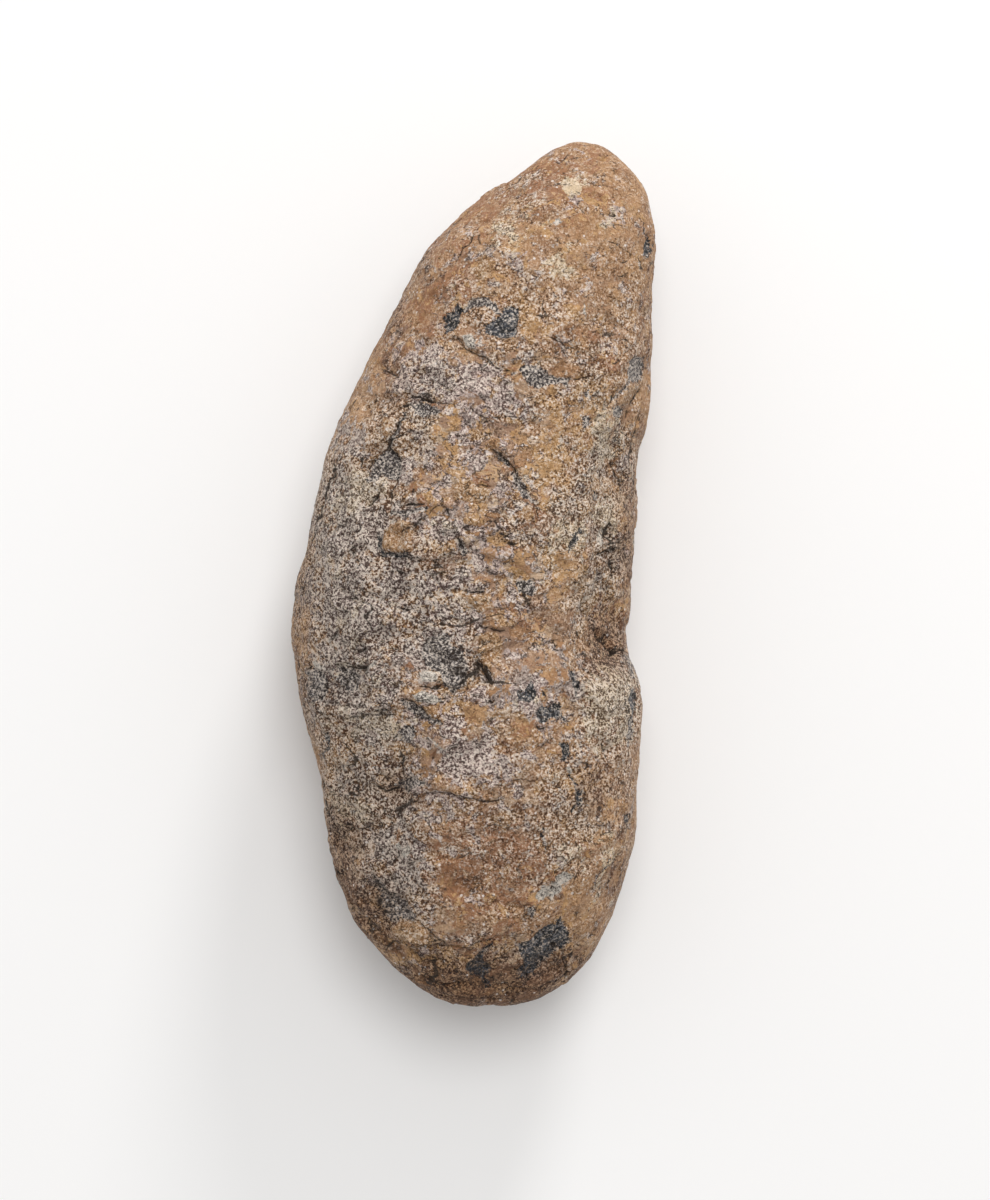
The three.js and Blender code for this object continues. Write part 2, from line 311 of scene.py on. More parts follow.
# %% Cracks: depth, half width, height of the ledge on their left, points
CRACKS = {
    "tip_groove": (0.54, 0.12, 0, [(475, 229), (467, 241), (459, 251), (453, 261), (444, 272)]),
    "clast_side": (0.41, 0.09, 0.27, [(452, 333), (466, 349), (483, 356), (497, 367), (515, 372)]),
    "brow_right": (0.41, 0.1, 0, [(571, 381), (582, 378), (593, 377)]),
    "dark_brow": (0.68, 0.18, 0.36, [(410, 398), (418, 396), (427, 400), (435, 401)]),
    "dark_brow_tail": (0.41, 0.1, 0.18, [(435, 401), (447, 403), (456, 406), (463, 406)]),
    "lens_side": (0.74, 0.18, 0.45, [
        (404, 414), (397, 425), (392, 436), (388, 447), (377, 453), (368, 464)
    ]),
    "diamond_edge": (0.81, 0.25, 0.36, [
        (382, 451), (388, 449), (396, 456), (400, 467), (397, 479), (392, 484)
    ]),
    "diamond_rim": (0.54, 0.16, 0, [(383, 450), (374, 455), (368, 463), (364, 471)]),
    "pit_crescent": (1.2, 0.32, 0.9, [(473, 664), (480, 664), (487, 671), (492, 680), (491, 687)]),
    "joint_upper": (0.54, 0.16, 0, [(395, 479), (390, 492), (389, 505)]),
    "cream_nick": (0.68, 0.15, 0, [(377, 489), (373, 498), (365, 504)]),
    "band_top": (0.54, 0.12, 0.36, [(398, 504), (412, 504), (426, 503)]),
    "scar_side": (0.61, 0.09, 0.63, [(488, 447), (498, 454), (507, 459), (514, 467), (519, 478)]),
    "scar_end": (0.47, 0.12, 0, [(538, 505), (538, 519)]),
    "arch_a": (0.34, 0.09, 0.27, [(491, 417), (508, 416), (520, 418), (527, 422)]),
    "arch_b": (0.34, 0.09, 0.18, [(544, 332), (553, 337), (564, 345), (569, 350)]),
    "flaky_a": (0.41, 0.1, 0.27, [(486, 522), (496, 521), (505, 519)]),
    "flaky_b": (0.47, 0.12, 0.36, [(498, 533), (507, 536), (515, 534)]),
    "flaky_c": (0.47, 0.1, 0.27, [(503, 541), (512, 543), (521, 544)]),
    "flaky_d": (0.41, 0.1, 0.27, [(462, 590), (476, 592), (491, 594)]),
    "flaky_e": (0.54, 0.13, 0.54, [(482, 626), (494, 630), (508, 632)]),
    "flaky_f": (0.34, 0.09, 0, [(476, 482), (485, 485), (493, 486)]),
    "plum_top": (0.68, 0.15, 0.27, [(456, 530), (457, 540), (463, 548)]),
    "left_a": (0.47, 0.1, 0.27, [(392, 607), (402, 608), (413, 609)]),
    "heart_base": (0.81, 0.2, 0.63, [(421, 687), (432, 689), (443, 684)]),
    "heart_dot": (0.68, 0.28, 0, [(450, 691), (456, 692)]),
    "heart_side": (0.81, 0.21, 0, [(467, 673), (462, 680), (461, 689)]),
    "laminae_a": (0.27, 0.08, 0.18, [(411, 700), (430, 700), (454, 698)]),
    "gully_top": (0.68, 0.17, 0.45, [(402, 700), (410, 702), (418, 707), (427, 714), (433, 720)]),
    "left_pair_a": (0.47, 0.08, 0.45, [
        (322, 717), (336, 716), (350, 718), (362, 717), (375, 714), (388, 714), (403, 711)
    ]),
    "left_pair_b": (0.47, 0.07, 0.36, [(374, 711), (388, 709), (399, 709)]),
    "left_pair_c": (0.34, 0.06, 0, [(366, 704), (380, 703), (398, 703)]),
    "left_rim_line": (0.47, 0.1, 0.27, [
        (298, 665), (304, 690), (311, 720), (318, 760), (323, 800), (327, 830)
    ]),
    "hollow_left": (0.47, 0.09, 0.45, [(341, 664), (350, 669), (361, 669), (370, 663)]),
    "hollow_brown": (0.61, 0.18, 0.36, [(371, 786), (384, 791), (396, 790), (401, 782)]),
    "flake_nick": (0.47, 0.13, 0, [(388, 873), (393, 877), (398, 881)]),
    "short_bar": (0.41, 0.12, 0, [(396, 852), (395, 858), (393, 863)]),
    "joint_low": (0.68, 0.13, 0, [(398, 746), (400, 759), (401, 776), (405, 786)]),
    "plate_edge": (0.61, 0.08, 0.63, [
        (402, 810), (413, 800), (423, 794), (445, 792), (460, 797), (472, 800), (481, 803), (498, 802),
        (511, 798)
    ]),
    "furrow_top": (0.41, 0.09, 0, [(646, 384), (637, 396), (631, 409), (628, 424)]),
    "furrow_dark": (0.41, 0.13, 0, [(643, 410), (639, 424), (635, 440), (632, 455), (629, 470)]),
    "furrow_mid": (0.54, 0.17, 0, [(614, 462), (618, 473), (623, 481)]),
    "furrow_cave": (1.2, 0.41, 0, [(610, 522), (612, 534), (612, 546)]),
    "furrow_sill": (0.68, 0.16, 0.36, [(596, 556), (605, 552), (613, 550), (620, 553)]),
    "furrow_low": (1.1, 0.37, 0, [(612, 560), (617, 570), (616, 578)]),
    "pit_zone_a": (1.1, 0.28, 0, [(596, 627), (600, 636), (606, 643)]),
    "pit_zone_b": (1.1, 0.28, 0, [(608, 633), (611, 645), (617, 652)]),
    "pit_zone_c": (0.81, 0.18, 0, [(590, 618), (594, 628)]),
    "notch_cut": (1.1, 0.25, 0, [(630, 649), (622, 650), (612, 654)]),
    "spur": (0.54, 0.12, 0, [(583, 601), (586, 614)]),
    "below_twin": (0.47, 0.1, 0.27, [(536, 726), (544, 729), (553, 728)]),
    "right_pair": (0.41, 0.09, 0.18, [(542, 748), (546, 744)]),
    "chain_spur": (0.47, 0.1, 0, [(583, 795), (588, 801), (592, 809)]),
    "low_nick": (0.41, 0.1, 0.27, [(517, 752), (527, 748)]),
    "left_seam": (0.47, 0.12, 0.36, [(347, 668), (356, 669), (366, 666)]),
    "corner_seam": (0.54, 0.14, 0, [(369, 873), (375, 882), (384, 892)]),
    "corner_run": (0.47, 0.12, 0.36, [(417, 917), (426, 927), (436, 938), (447, 946)]),
    "foot_seam_a": (0.68, 0.16, 0.63, [(400, 937), (414, 941), (432, 946), (446, 948), (458, 945)]),
    "foot_seam_b": (0.68, 0.15, 0.63, [(447, 946), (469, 947), (483, 943), (497, 938)]),
    "foot_seam_c": (0.61, 0.14, 0.54, [(402, 948), (416, 956), (432, 962), (452, 966)]),
    "foot_seam_d": (0.61, 0.14, 0.54, [(404, 962), (422, 973), (442, 981), (464, 985)]),
    "foot_seam_e": (0.54, 0.14, 0.54, [(497, 984), (520, 989), (545, 985), (566, 976)]),
    "foot_seam_g": (0.54, 0.13, 0.45, [(430, 989), (452, 996), (482, 999), (510, 998)]),
    "foot_seam_h": (0.41, 0.08, 0.36, [(562, 953), (567, 962), (566, 974), (560, 980)]),
    "foot_seam_i": (0.47, 0.12, 0.45, [(410, 968), (428, 980), (446, 988)]),
    "foot_seam_f": (0.54, 0.13, 0.27, [(560, 962), (575, 952), (588, 938)]),
    "lip_seam": (0.81, 0.21, 0.54, [(338, 878), (348, 893), (358, 909), (367, 923), (374, 936)]),
    "rim_cleft": (0.68, 0.18, 0, [(330, 461), (333, 470), (332, 481)]),
    "rim_seam": (0.41, 0.16, 0, [(341, 452), (329, 480), (318, 510), (308, 540), (300, 575)]),
    "tip_nick_a": (0.41, 0.12, 0, [(608, 213), (618, 214)]),
    "tip_nick_b": (0.34, 0.1, 0, [(546, 201), (551, 198), (556, 196)]),
    "tip_nick_c": (0.34, 0.09, 0, [(553, 160), (562, 157), (571, 153)]),
    "tip_side": (0.47, 0.12, 0, [(640, 254), (643, 263), (646, 273)]),
    "tip_fold": (0.34, 0.14, 0, [(505, 189), (515, 180), (524, 170)]),
    "dot_a": (0.54, 0.18, 0, [(487, 701), (492, 703)]),
    "dot_b": (0.41, 0.18, 0, [(556, 649), (561, 650)]),
    "dot_c": (0.41, 0.18, 0, [(552, 641), (559, 641)]),
    "dot_d": (0.41, 0.18, 0, [(511, 559), (515, 561)]),
    "left_pit_a": (0.54, 0.21, 0, [(394, 570), (404, 573)]),
    "left_pit_b": (0.54, 0.21, 0, [(337, 668), (342, 674)]),
    "left_pit_c": (0.54, 0.18, 0, [(352, 783), (357, 795)]),
    "left_pit_d": (0.54, 0.18, 0, [(377, 828), (381, 826)]),
    "lip_nick": (1.2, 0.35, 0, [(328, 868), (334, 872), (341, 877)]),
    "left_pit_e": (1.1, 0.28, 0, [(306, 669), (310, 666)]),
}
print("marks:", sum(len(sort) for sort in (FLINT, GREY, PALE, TAN, CRACKS)))

# %% [markdown]
# ## From the sheet to the skin
#
# Each point of the skin is looked up on the sheet along its line of sight to the camera. The marks are
# drawn with few points, so the lookup is first shifted by noise: an edge then wanders by a few tenths
# of a millimetre, as broken stone does. Marks fade out where the skin turns under and out of sight.

# %% Look the skin up on the sheet
WANDER_MM = 0.30
FINE_WANDER = 0.6  # how far the fine noise shifts a mark, as a share of what the medium noise does
FAR_MM = 3.0

nearer = CAMERA_HEIGHT_MM / (camera_place_mm[2] - places[:, 2])
plan = camera_place_mm[:2] + (places[:, :2] - camera_place_mm[:2]) * nearer[:, None]
plan[:, 0] += WANDER_MM * (medium + FINE_WANDER * fine)
plan[:, 1] += WANDER_MM * (lumps(MEDIUM_MM, 4) + FINE_WANDER * lumps(FINE_MM, 5))
seen = smooth(0.02, 0.22, facing[:, 2])
upper = np.flatnonzero(seen > 0)


def close_by(points, reach):
    """The points of the skin that lie inside a mark's box on the sheet, widened by a reach."""
    low, high = points.min(axis=0) - reach, points.max(axis=0) + reach
    return upper[((plan[upper] > low) & (plan[upper] < high)).all(axis=1)]


def to_line(spots, line):
    """Distance from spots to a line, the way across to each, and how far along it lies, 0 to 1."""
    nearest = np.full(len(spots), np.inf)
    across = np.zeros_like(spots)
    runs = np.zeros_like(spots)
    way = np.zeros(len(spots))
    lengths = np.linalg.norm(np.diff(line, axis=0), axis=1)
    passed = np.concatenate([[0], np.cumsum(lengths)])
    for start, end, before, length in zip(line, line[1:], passed, lengths):
        run = (end - start) / length
        along = np.clip((spots - start) @ run, 0, length)
        gap = spots - start - along[:, None] * run
        distance = np.linalg.norm(gap, axis=1)
        closer = distance < nearest
        nearest[closer] = distance[closer]
        across[closer] = gap[closer]
        runs[closer] = run
        way[closer] = (before + along[closer]) / passed[-1]
    return nearest, across, runs, way


def to_outline(spots, line):
    """Distance from spots to a closed outline: below 0 is inside it."""
    ring = np.vstack([line, line[:1]])
    gap = to_line(spots, ring)[0]
    inside = np.zeros(len(spots), bool)
    for (x1, y1), (x2, y2) in zip(ring, ring[1:]):
        if y1 == y2:
            continue
        spans = (y1 > spots[:, 1]) != (y2 > spots[:, 1])
        inside ^= spans & (spots[:, 0] < (x2 - x1) * (spots[:, 1] - y1) / (y2 - y1) + x1)
    return np.where(inside, -gap, gap)


# %% Cut the patches


def whole(gap):
    """0 outside a patch and 1 well inside it, from the distance to its edge."""
    return smooth(0.12, -0.28, gap)


def taper(way, power=1.0):
    """A line's width from end to end: near 0 at both ends and 1 in the middle."""
    return np.sin(math.pi * np.clip(way, 0.04, 0.96)) ** power


rise = np.zeros(COUNT)
edges = {}
for sort, marks in (("flint", FLINT), ("grey", GREY), ("pale", PALE), ("tan", TAN)):
    edges[sort] = np.full(COUNT, FAR_MM)
    for depth, half_width, points in marks.values():
        line = from_sheet(points)
        where = close_by(line, FAR_MM)
        if half_width:
            gap, _, _, way = to_line(plan[where], line)
            gap -= half_width * (0.45 + 0.55 * taper(way))
        else:
            gap = to_outline(plan[where], line)
        edges[sort][where] = np.minimum(edges[sort][where], gap)
        rise[where] -= depth * whole(gap) * seen[where]
print("patches reach", round(float(rise.min()), 2), "to", round(float(rise.max()), 2), "mm")

# %% Cut the cracks, and raise the side of each that stands proud
LEDGE_REACH_MM = 2.6
CRACK_FADE_MM = (0.9, 0.5)  # a crack's painted shade is gone at the first distance from it
THINNEST_MM = 0.06
NARROWEST_CUT_MM = 0.2  # the skin's faces can't take a narrower groove
crack_side = np.full(COUNT, FAR_MM)  # distance to the nearest crack or ledge foot in mm, below 0 on its right
crack_shade_open = np.zeros(COUNT)  # half the width in mm of the painted shade along that crack or ledge foot


def note_shade_line(where, gap, left, half_width):
    """Notes a painted shade line, of a crack or a ledge's foot, where no closer one is noted."""
    closer = (gap < np.abs(crack_side[where])) & (half_width > 0)
    crack_side[where[closer]] = np.copysign(gap, left)[closer]
    crack_shade_open[where[closer]] = (half_width * smooth(*CRACK_FADE_MM, gap))[closer]


def cut_crack(where, depth, half_width, ledge, gap, left, way, strength):
    """Cuts a groove that tapers to both ends, with a ledge on its left."""
    thick = taper(way, 0.6) * smooth(-0.75, -0.1, coarse[where])
    width = half_width * (0.35 + 0.65 * thick)
    groove = np.exp(-((gap / (1.3 * np.maximum(width, NARROWEST_CUT_MM))) ** 2)) * thick
    proud = np.where(left > 0, smooth(LEDGE_REACH_MM, 0.0, gap), 0) * thick
    rise[where] += (ledge * proud - depth * groove) * strength
    # the groove also gets a line of painted shade in the finish
    note_shade_line(where, gap, left, (width + THINNEST_MM) * smooth(0.1, 0.5, thick * strength))


for depth, half_width, ledge, points in CRACKS.values():
    line = from_sheet(points)
    where = close_by(line, FAR_MM)
    gap, across, runs, way = to_line(plan[where], line)
    left = runs[:, 0] * across[:, 1] - runs[:, 1] * across[:, 0]
    cut_crack(where, depth, half_width, ledge, gap, left, way, seen[where])
print("cracks reach", round(float(rise.min()), 2), "mm")

# %% [markdown]
# ## Marks out of the camera's sight
#
# The belly and the steep sides have the same stone, so they carry the same kinds of marks. Their places
# are drawn by lot with a fixed seed. A patch is a ragged blot round a point of the skin. A crack walks
# over the skin in short steps and turns a little at each, and a search tree finds the point of the skin
# that is nearest to each step.

# %% Scatter patches and cracks over the hidden skin
SEED = 11
HIDDEN_PATCHES = {  # sort: how many, least and greatest radius in mm, depth in mm
    "flint": (9, 0.7, 2.0, 0.25), "grey": (14, 0.8, 2.6, 0.15),
    "pale": (12, 0.5, 1.6, -0.15), "tan": (14, 0.8, 2.2, -0.2),
}
PATCH_SHAPE = (1.3, 0.8, 1.0)  # patches are drawn out across the loaf
WELL_HIDDEN = 0.9
HIDDEN_CRACKS = 34
CRACK_LEAST_MM = (0.25, 0.06, 0.0)  # depth, half width and ledge, as on the survey sheet
CRACK_MOST_MM = (0.6, 0.17, 0.35)
STRIDE_MM = 0.9
STRIDES = (4, 11)
TURN = 0.45

lot = np.random.default_rng(SEED)
hidden = 1 - seen
candidates = np.flatnonzero(hidden > WELL_HIDDEN)
search = kdtree.KDTree(COUNT)
for index, place in enumerate(places.tolist()):
    search.insert(place, index)
search.balance()
for sort, (how_many, least, most, depth) in HIDDEN_PATCHES.items():
    for middle in lot.choice(candidates, how_many):
        radius = lot.uniform(least, most)
        gap = np.linalg.norm((places - places[middle]) / PATCH_SHAPE, axis=1)
        where = np.flatnonzero(gap < radius + FAR_MM)
        gap = gap[where] - radius * (1 + 0.45 * medium[where] + 0.35 * coarse[where])
        gap += FAR_MM * seen[where]
        edges[sort][where] = np.minimum(edges[sort][where], gap)
        rise[where] -= depth * whole(gap)
for middle in lot.choice(candidates, HIDDEN_CRACKS):
    heading = lot.normal(size=3) * (1.0, 0.35, 0.7)
    line = [places[middle]]
    for _ in range(lot.integers(*STRIDES)):
        upright = facing[middle]
        heading += TURN * lot.normal(size=3)
        heading -= upright * (heading @ upright)
        heading /= np.linalg.norm(heading)
        middle = search.find((line[-1] + STRIDE_MM * heading).tolist())[1]
        if np.linalg.norm(places[middle] - line[-1]) > 0.3 * STRIDE_MM:
            line.append(places[middle])
    line = np.array(line)
    if len(line) < 3:
        continue
    away = np.linalg.norm(places - line.mean(axis=0), axis=1)
    where = np.flatnonzero(away < len(line) * STRIDE_MM + FAR_MM)
    wandering = places[where] + WANDER_MM * np.stack([medium, fine, coarse], axis=1)[where]
    gap, across, runs, way = to_line(wandering, line)
    left = (np.cross(runs, across) * facing[where]).sum(axis=1)
    depth, half_width, ledge = lot.uniform(CRACK_LEAST_MM, CRACK_MOST_MM)
    cut_crack(where, depth, half_width, ledge, gap, left, way, hidden[where])
print("hidden marks:", sum(row[0] for row in HIDDEN_PATCHES.values()), "patches,", HIDDEN_CRACKS, "cracks")

# %% [markdown]
# ## Zones
#
# The stone isn't the same all over: grit lies open on the flanks, and iron, phosphate and chalk have
# stained it in clouds. Each zone is a set of soft ellipses on the survey sheet, and noise tears their
# edges later, in the finish. The belly gets its zones from wide noise.

# %% Zones: middle, half width and half height of each ellipse in sheet units, strength
ZONES = {
    "grit": [
        (352, 520, 52, 62, 1), (362, 600, 66, 62, 1), (350, 690, 50, 60, 0.8), (360, 800, 48, 60, 1),
        (392, 880, 40, 50, 0.8), (420, 378, 26, 18, 0.7), (604, 548, 26, 76, 0.8),
        (610, 704, 30, 62, 0.8), (440, 600, 40, 50, 0.5), (476, 752, 44, 36, 0.4),
        (570, 800, 26, 60, 0.5), (440, 660, 30, 26, 0.6), (505, 320, 30, 20, 0.4),
        (590, 500, 40, 70, 0.6), (604, 650, 34, 110, 0.5), (585, 760, 30, 60, 0.5),
        (395, 440, 30, 40, 0.6), (520, 520, 26, 30, 0.4), (520, 860, 120, 110, 0.2),
        (480, 975, 130, 36, 0.2), (360, 900, 40, 60, 0.4), (560, 360, 70, 60, 0.25),
    ],
    "flaky": [
        (470, 520, 80, 110, 1), (500, 620, 60, 60, 0.8), (400, 700, 90, 70, 1), (450, 400, 60, 40, 0.6),
        (610, 560, 40, 120, 0.8), (380, 900, 60, 60, 0.8), (470, 970, 120, 40, 0.8),
        (540, 370, 60, 30, 0.5), (560, 700, 60, 40, 0.6), (390, 790, 60, 50, 0.6),
        (540, 840, 100, 60, 0.3),
    ],
    "lilac": [
        (423, 353, 24, 16, 0.7), (416, 378, 24, 14, 0.8), (480, 373, 20, 12, 0.8),
        (510, 400, 16, 12, 0.7), (527, 257, 18, 14, 0.5), (577, 199, 16, 12, 0.4),
        (476, 752, 42, 36, 0.9), (512, 652, 12, 14, 0.7), (462, 430, 14, 16, 0.6),
        (505, 437, 12, 9, 0.6), (474, 455, 14, 14, 0.6), (446, 600, 34, 40, 0.5),
        (500, 495, 16, 12, 0.5), (478, 552, 20, 18, 0.5), (440, 500, 50, 60, 0.25),
        (475, 402, 34, 26, 0.8), (485, 545, 34, 34, 0.55), (362, 640, 50, 90, 0.5),
        (528, 690, 30, 44, 0.45), (496, 800, 40, 30, 0.4), (424, 790, 24, 30, 0.4),
        (390, 726, 30, 16, 0.5), (490, 615, 40, 26, 0.4), (430, 715, 40, 24, 0.4),
        (440, 530, 20, 14, 0.5), (420, 850, 20, 20, 0.4),
    ],
    "cream": [
        (365, 488, 26, 14, 0.9), (345, 495, 20, 22, 0.7), (573, 533, 24, 20, 0.6),
        (607, 520, 12, 22, 0.8), (606, 704, 26, 44, 1), (580, 853, 20, 14, 0.5), (576, 183, 12, 9, 1.1),
        (604, 438, 16, 26, 0.7), (604, 860, 24, 30, 0.4), (348, 645, 22, 20, 0.6),
        (352, 620, 30, 60, 0.4), (503, 250, 16, 12, 0.4), (556, 268, 20, 14, 0.5),
        (380, 727, 22, 12, 1), (340, 590, 20, 40, 0.4), (590, 470, 20, 24, 0.4),
        (352, 640, 26, 44, 0.5), (352, 722, 28, 24, 0.6), (350, 806, 26, 30, 0.5),
        (350, 635, 24, 30, 0.3), (630, 720, 14, 40, 0.5), (540, 225, 60, 30, 0.3),
    ],
    "ash": [
        (347, 540, 42, 64, 0.8), (362, 600, 62, 60, 0.85), (378, 720, 30, 18, 0.7),
        (392, 872, 30, 48, 0.7), (330, 660, 30, 50, 0.6), (573, 735, 16, 66, 0.6),
        (355, 690, 30, 30, 0.5), (605, 610, 22, 30, 0.4), (440, 655, 28, 26, 0.5),
        (516, 345, 34, 16, 0.3), (400, 500, 44, 60, 0.4), (390, 655, 50, 50, 0.6),
        (430, 620, 40, 50, 0.35), (430, 580, 40, 40, 0.3), (352, 436, 20, 26, 0.7),
        (352, 766, 26, 36, 0.5), (536, 692, 40, 44, 0.55), (424, 690, 24, 16, 0.5),
    ],
    "ochre": [
        (590, 407, 32, 24, 0.6), (565, 455, 34, 46, 0.5), (490, 278, 20, 16, 0.6),
        (583, 312, 20, 14, 0.4), (340, 760, 16, 12, 0.6), (413, 756, 16, 11, 0.6),
        (430, 953, 44, 20, 0.6), (448, 446, 12, 15, 0.8), (516, 428, 11, 10, 0.6),
        (536, 474, 14, 14, 0.7), (470, 494, 22, 9, 0.8), (443, 492, 12, 8, 0.7),
        (560, 560, 34, 26, 0.6), (545, 225, 50, 40, 0.3), (466, 420, 30, 26, 0.5),
        (476, 515, 36, 40, 0.4), (430, 712, 30, 14, 0.3), (545, 905, 30, 16, 0.3),
        (602, 585, 20, 40, 0.4), (532, 330, 24, 24, 0.5), (598, 474, 22, 24, 0.4),
    ],
    "rust": [
        (433, 297, 24, 46, 0.6), (597, 343, 14, 11, 0.7), (480, 482, 18, 11, 0.5),
        (385, 764, 15, 11, 0.6), (540, 740, 22, 20, 0.4), (490, 870, 66, 50, 0.75),
        (413, 935, 18, 12, 0.6), (500, 305, 22, 12, 0.3), (520, 610, 26, 20, 0.4),
        (450, 250, 40, 60, 0.6), (480, 195, 44, 26, 0.7), (392, 320, 16, 50, 0.6),
        (517, 500, 14, 44, 0.4), (604, 366, 18, 24, 0.6), (532, 510, 18, 22, 0.6),
        (356, 660, 12, 7, 0.7), (548, 184, 60, 44, 0.65), (610, 622, 16, 30, 0.6),
        (424, 942, 30, 20, 0.4), (480, 945, 50, 20, 0.4),
    ],
    # umber is brown stain, and also painted shade along the rims, at the foot and in hollows and furrows
    "umber_and_shade": [
        (393, 787, 14, 12, 0.6), (606, 640, 18, 30, 0.9), (593, 787, 18, 22, 0.5),
        (358, 850, 30, 60, 0.15), (500, 1004, 130, 26, 0.8), (300, 625, 10, 170, 0.45),
        (630, 540, 10, 66, 0.6), (657, 310, 12, 60, 0.4), (440, 290, 24, 50, 0.25),
        (622, 860, 14, 80, 0.3), (366, 925, 30, 44, 0.8), (336, 868, 20, 60, 0.8),
        (470, 988, 120, 32, 1), (560, 965, 50, 24, 0.5), (392, 330, 16, 60, 0.5),
        (500, 900, 90, 24, 0.2),
    ],
}
HIDDEN_CLOUD_MM = 9.0
HIDDEN_MOST = {  # how strong each zone gets on the hidden skin
    "grit": 0.95, "flaky": 0.8, "lilac": 0.5, "cream": 0.4,
    "ash": 0.7, "ochre": 0.45, "rust": 0.5, "umber_and_shade": 0.6,
}
known = smooth(-0.7, -0.1, facing[:, 2])  # the sides below the widest line are like the rim over them
zones = {}
for number, (zone, ellipses) in enumerate(ZONES.items()):
    cover = np.zeros(COUNT)
    for x, y, half_wide, half_high, strength in ellipses:
        away = (plan - from_sheet((x, y))) / (half_wide * UNIT_MM, half_high * UNIT_MM)
        cover = np.maximum(cover, strength * np.exp(-0.6 * np.linalg.norm(away, axis=1) ** 3))
    clouds = HIDDEN_MOST[zone] * smooth(0.0, 0.4, lumps(HIDDEN_CLOUD_MM, 20 + number))
    zones[zone] = cover * known + clouds * (1 - known)
print("zones:", {zone: round(float(cover.mean()), 3) for zone, cover in zones.items()})

# %% [markdown]
# ## Natural relief
#
# Weathering leaves several sizes of relief. There are low swells, and thin flakes that broke away at
# different levels: a Voronoi pattern gives each of them its own height. The layers end in ledges that
# lie across the loaf, where drawn-out noise passes through zero. Open grit is the finest.

# %% Flakes
FLAKE_MM = 2.4
BEND_MM = 2.0
BEND = 0.35  # how far the flakes' edges are bent, as a share of FLAKE_MM
SPREAD = 7.31  # keeps neighbouring flakes' numbers apart
noise.seed_set(SEED)  # noise_vector starts from an offset that the clock would set
bent = [noise.noise_vector(spot) * BEND for spot in (places / BEND_MM).tolist()]
flake_top = np.array([
    noise.cell(noise.voronoi(Vector(spot) + shift)[1][0] * SPREAD)
    for spot, shift in zip((places / FLAKE_MM).tolist(), bent)
])
print("flakes:", round(float(flake_top.min()), 2), round(float(flake_top.max()), 2))

# %% Ledges
LEDGES = [  # lumps along X, Y and Z in mm, height in mm, seed
    ((9.0, 4.2, 6.0), 0.50, 31),
    ((4.6, 2.0, 3.0), 0.34, 33),
    ((2.6, 1.2, 1.8), 0.20, 35),
]
layers = np.zeros(COUNT)
for size, height, seed in LEDGES:
    level = lumps(size, seed)
    there = smooth(-0.05, 0.25, lumps(1.7 * size[0], seed + 1))
    layers += height * there * (smooth(-0.06, 0.03, level) - 0.5)
    gap = np.abs(level + 0.05) * size[1]
    broken = smooth(0.0, 0.25, lumps(size[1], seed + 2)) * smooth(0.3, 0.7, there)
    # the foot of each ledge gets a line of painted shade, as if the ledge shaded the layer below
    note_shade_line(np.arange(COUNT), gap, level + 0.05, 0.34 * height * broken)
print("ledges:", round(float(layers.min()), 2), "to", round(float(layers.max()), 2), "mm")

# %% Add it all up
RUBBED = 0.4  # what is left of the relief along the widest line, which wears most
FLAKE_STEP_MM = 0.16
SUNK_MM = 0.2  # lowers the whole skin, so that the relief stays inside the solid
rough = np.maximum(zones["grit"], zones["umber_and_shade"])
relief = (  # in mm: first what clean stone has, then what open grit and flaking add
    (0.20 + 0.30 * rough) * coarse
    + (0.12 + 0.16 * rough) * medium
    + (0.05 + 0.10 * rough) * fine
    + FLAKE_STEP_MM * (flake_top - 0.5)
    + (0.4 + 0.5 * rough + 0.9 * zones["flaky"]) * layers
)
rise += relief * (RUBBED + (1 - RUBBED) * smooth(0.1, 0.6, np.abs(facing[:, 2]))) - SUNK_MM
print("relief:", round(float(rise.min()), 2), "to", round(float(rise.max()), 2), "mm")

# %% Move the skin, and keep it inside the solid's own box
FLAT_FADE_MM = 1.2  # the relief fades to nothing at the small flat that the stone rests on
low, high = (np.array(corner) / MM for corner in cad_box)
above_ground = smooth(0.0, FLAT_FADE_MM, places[:, 2])
moved = places + facing * (rise * above_ground)[:, None]
moved = np.clip(moved, low, high)
stone.data.vertices.foreach_set("co", (moved * MM).ravel())
fields = {**edges, **zones, "crack_side": crack_side, "crack_shade_open": crack_shade_open}
for name, values in fields.items():
    layer = stone.data.attributes.new(name, "FLOAT", "POINT")
    layer.data.foreach_set("value", values.astype(np.float32))
stone.data.update()

# %% [markdown]
# ## A budget of triangles
#
# The fine skin has four times as many triangles as the budget allows. Decimate folds the flattest
# edges first, so the cracks and ledges keep theirs.

# %% Thin the mesh to its budget
TRIANGLE_BUDGET = 194_000


def triangles(mesh):
    """How many triangles a mesh has once its faces are split."""
    return sum(len(face.vertices) - 2 for face in mesh.polygons)


full = triangles(stone.data)
thin = stone.modifiers.new("thin", "DECIMATE")
thin.ratio = TRIANGLE_BUDGET / full
stone.data = with_modifiers(stone)
stone.modifiers.clear()
stone.data.shade_smooth()
flat_list = np.empty(len(stone.data.vertices) * 3)
stone.data.vertices.foreach_get("co", flat_list)
stone.data.vertices.foreach_set("co", np.clip(flat_list.reshape(-1, 3), low * MM, high * MM).ravel())
print("thinned from", full, "to", triangles(stone.data), "triangles")

# %% [markdown]
# ## The stone finish
#
# The stone is silica and calcium phosphate with iron and clay in it, broken and weathered, never cut or
# polished. To the eye that gives a dry, matt face with grains of many tones, dull glints on the flint,
# and stains in clouds. One material does it all, and it also paints shade into the cracks, pits and
# creases and onto the rims and foot, light and shade onto the grains, and highlights onto the flint's
# facets. It reads the stone's own Object coordinates, so no pattern has a seam, and the attributes that
# the survey left on the skin.

# %% Helpers for materials


def colour(hex_code):
    """An sRGB hex value as the linear colour that the shader takes."""
    parts = [int(hex_code[i:i + 2], 16) / 255 for i in (1, 3, 5)]
    return (*(p / 12.92 if p <= 0.04045 else ((p + 0.055) / 1.055) ** 2.4 for p in parts), 1.0)


